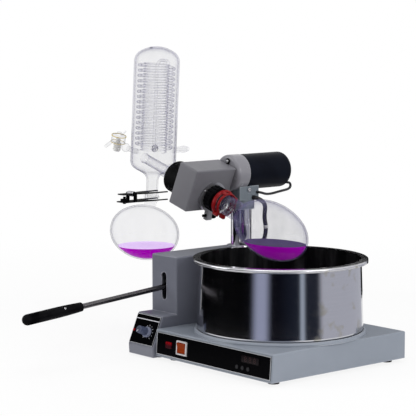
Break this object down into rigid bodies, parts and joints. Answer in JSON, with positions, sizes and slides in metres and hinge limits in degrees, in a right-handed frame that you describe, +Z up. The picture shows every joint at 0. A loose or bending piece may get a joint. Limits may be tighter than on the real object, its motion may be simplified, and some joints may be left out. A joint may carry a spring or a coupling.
{
  "type": "rotary_evaporator",
  "caption": "bench rotary evaporator with a steel heating bath, hand-lever lift, worm-driven flask, upright coil condenser, stopcock and clamped receiving flask",
  "frame": {"origin": "centre of the whole outline on the bench plane, under the feet", "axes": "+X from the condenser side to the bath side, -Y the front with the panels and the lever, +Z up"},
  "size_m": [0.6172, 0.5641, 0.5141],
  "materials": {
    "casing_grey": "satin",
    "housing_grey": "satin",
    "head_grey": "satin",
    "gear_grey": "satin",
    "bracket_grey": "satin",
    "motor_black": "satin",
    "panel_black": "gloss",
    "black_plastic": "satin",
    "pot_steel": "polished",
    "post_chrome": "polished",
    "machine_steel": "brushed",
    "rod_steel": "satin",
    "bronze": "satin",
    "board_green": "satin",
    "seat_white": "satin",
    "rocker_orange": "gloss",
    "lamp_red": "gloss",
    "button_grey": "satin",
    "knob_grey": "satin",
    "clip_red": "satin",
    "clear_glass": "polished",
    "violet_liquid": "polished",
    "key_white": "satin",
    "foot_rubber": "matte",
    "lead_black": "satin"
  },
  "bodies": {
    "stand": {"bath_casing": "casing_grey", "bath_floor_plate": "machine_steel", "bath_pot": "pot_steel", "pot_seat_ring": "seat_white", "heater_plate": "machine_steel", "heating_element": "machine_steel", "front_panel": "panel_black", "power_lamp": "lamp_red", "display_window": "panel_black", "switch_bezel": "seat_white", "control_board": "board_green", "rubber_feet": "foot_rubber", "stand_housing": "housing_grey", "stand_floor_plate": "machine_steel", "speed_panel": "panel_black", "speed_lamp": "lamp_red", "speed_potentiometer": "black_plastic", "upper_post_bush": "bronze", "lower_post_guide": "black_plastic", "cable_grommet": "black_plastic", "lever_pivot_pin": "machine_steel"},
    "column": {"lift_post": "post_chrome", "lift_clevis": "machine_steel", "head_bracket": "bracket_grey", "head_cable": "lead_black"},
    "lever": {"lever_hub": "machine_steel", "lift_pin": "machine_steel", "lever_rod": "rod_steel", "lever_grip": "black_plastic"},
    "head": {"gear_head": "gear_grey", "motor_body": "motor_black", "drive_box": "head_grey", "drive_box_cover": "head_grey", "shaft_bearings": "machine_steel", "seal_collar": "post_chrome", "evaporating_liquid": "violet_liquid", "condenser_union": "black_plastic", "condenser_jacket": "clear_glass", "cooling_coil": "clear_glass", "stopcock_body": "clear_glass", "clamp_lower_fork": "black_plastic", "receiving_flask": "clear_glass", "receiving_liquid": "violet_liquid", "motor_lead": "lead_black"},
    "rotor": {"worm_wheel": "bronze", "hollow_shaft": "machine_steel", "flask_nut": "black_plastic", "joint_clip": "clip_red", "evaporating_flask": "clear_glass"},
    "worm": {"drive_worm": "machine_steel"},
    "speed_knob": {"speed_knob": "knob_grey"},
    "switch_rocker": {"switch_rocker": "rocker_orange"},
    "set_button_1": {"set_button_1": "button_grey"},
    "set_button_2": {"set_button_2": "button_grey"},
    "set_button_3": {"set_button_3": "button_grey"},
    "stopcock_key": {"stopcock_key": "key_white"},
    "collar_screw": {"collar_screw": "black_plastic"},
    "clamp_upper_fork": {"clamp_upper_fork": "black_plastic"},
    "clamp_screw": {"clamp_screw": "black_plastic"}
  },
  "joints": [
    {"name": "lift_slide", "type": "slide", "parent": "stand", "child": "column", "axis": [0, 0, 1], "range_m": [-0.034, 0.026], "deforming": ["head_cable"]},
    {"name": "lever_swing", "type": "hinge", "parent": "stand", "child": "lever", "pos_m": [-0.0134, 0.0394, 0.1162], "axis": [1, 0, 0], "range_deg": [-17.6, 13.5]},
    {"name": "head_tilt", "type": "hinge", "parent": "column", "child": "head", "pos_m": [-0.0134, 0.1094, 0.2974], "axis": [0, 1, 0], "range_deg": [-8, 8], "deforming": ["motor_lead"]},
    {"name": "worm_spin", "type": "hinge", "parent": "head", "child": "worm", "pos_m": [-0.0134, 0.1094, 0.2974], "axis": [0, 1, 0], "continuous": true},
    {"name": "flask_spin", "type": "hinge", "parent": "head", "child": "rotor", "pos_m": [-0.0134, 0.1094, 0.2616], "axis": [0.9588, 0, -0.284], "continuous": true},
    {"name": "speed_turn", "type": "hinge", "parent": "stand", "child": "speed_knob", "pos_m": [-0.0039, -0.03439, 0.04192], "axis": [0, 0.9196, -0.3928], "range_deg": [0, 280]},
    {"name": "switch_rock", "type": "hinge", "parent": "stand", "child": "switch_rocker", "pos_m": [0.0871, -0.03575, 0.02894], "axis": [-1, 0, 0], "range_deg": [0, 14]},
    {"name": "set_press_1", "type": "slide", "parent": "stand", "child": "set_button_1", "axis": [0, 0.9976, -0.069], "range_m": [0, 0.0008], "stiffness_N_per_m": 600, "springref_m": -0.001},
    {"name": "set_press_2", "type": "slide", "parent": "stand", "child": "set_button_2", "axis": [0, 0.9976, -0.069], "range_m": [0, 0.0008], "stiffness_N_per_m": 600, "springref_m": -0.001},
    {"name": "set_press_3", "type": "slide", "parent": "stand", "child": "set_button_3", "axis": [0, 0.9976, -0.069], "range_m": [0, 0.0008], "stiffness_N_per_m": 600, "springref_m": -0.001},
    {"name": "stopcock_turn", "type": "hinge", "parent": "head", "child": "stopcock_key", "pos_m": [-0.27007, 0.1094, 0.33739], "axis": [-0.2756, 0, -0.9613], "range_deg": [-90, 90]},
    {"name": "collar_screw_turn", "type": "hinge", "parent": "head", "child": "collar_screw", "pos_m": [-0.01697, 0.1094, 0.22668], "axis": [0, 1, 0], "range_deg": [-180, 180]},
    {"name": "clamp_open", "type": "hinge", "parent": "head", "child": "clamp_upper_fork", "pos_m": [-0.17137, 0.0634, 0.2547], "axis": [1, 0, 0], "range_deg": [0, 6]},
    {"name": "clamp_screw_turn", "type": "hinge", "parent": "head", "child": "clamp_screw", "pos_m": [-0.17137, 0.0474, 0.2475], "axis": [0, 0, 1], "range_deg": [-180, 180]}
  ],
  "couplings": [
    {"joint": "lever_swing", "follows": "lift_slide", "rad_per_m": 8.9286},
    {"joint": "flask_spin", "follows": "worm_spin", "ratio": 0.03125}
  ]
}
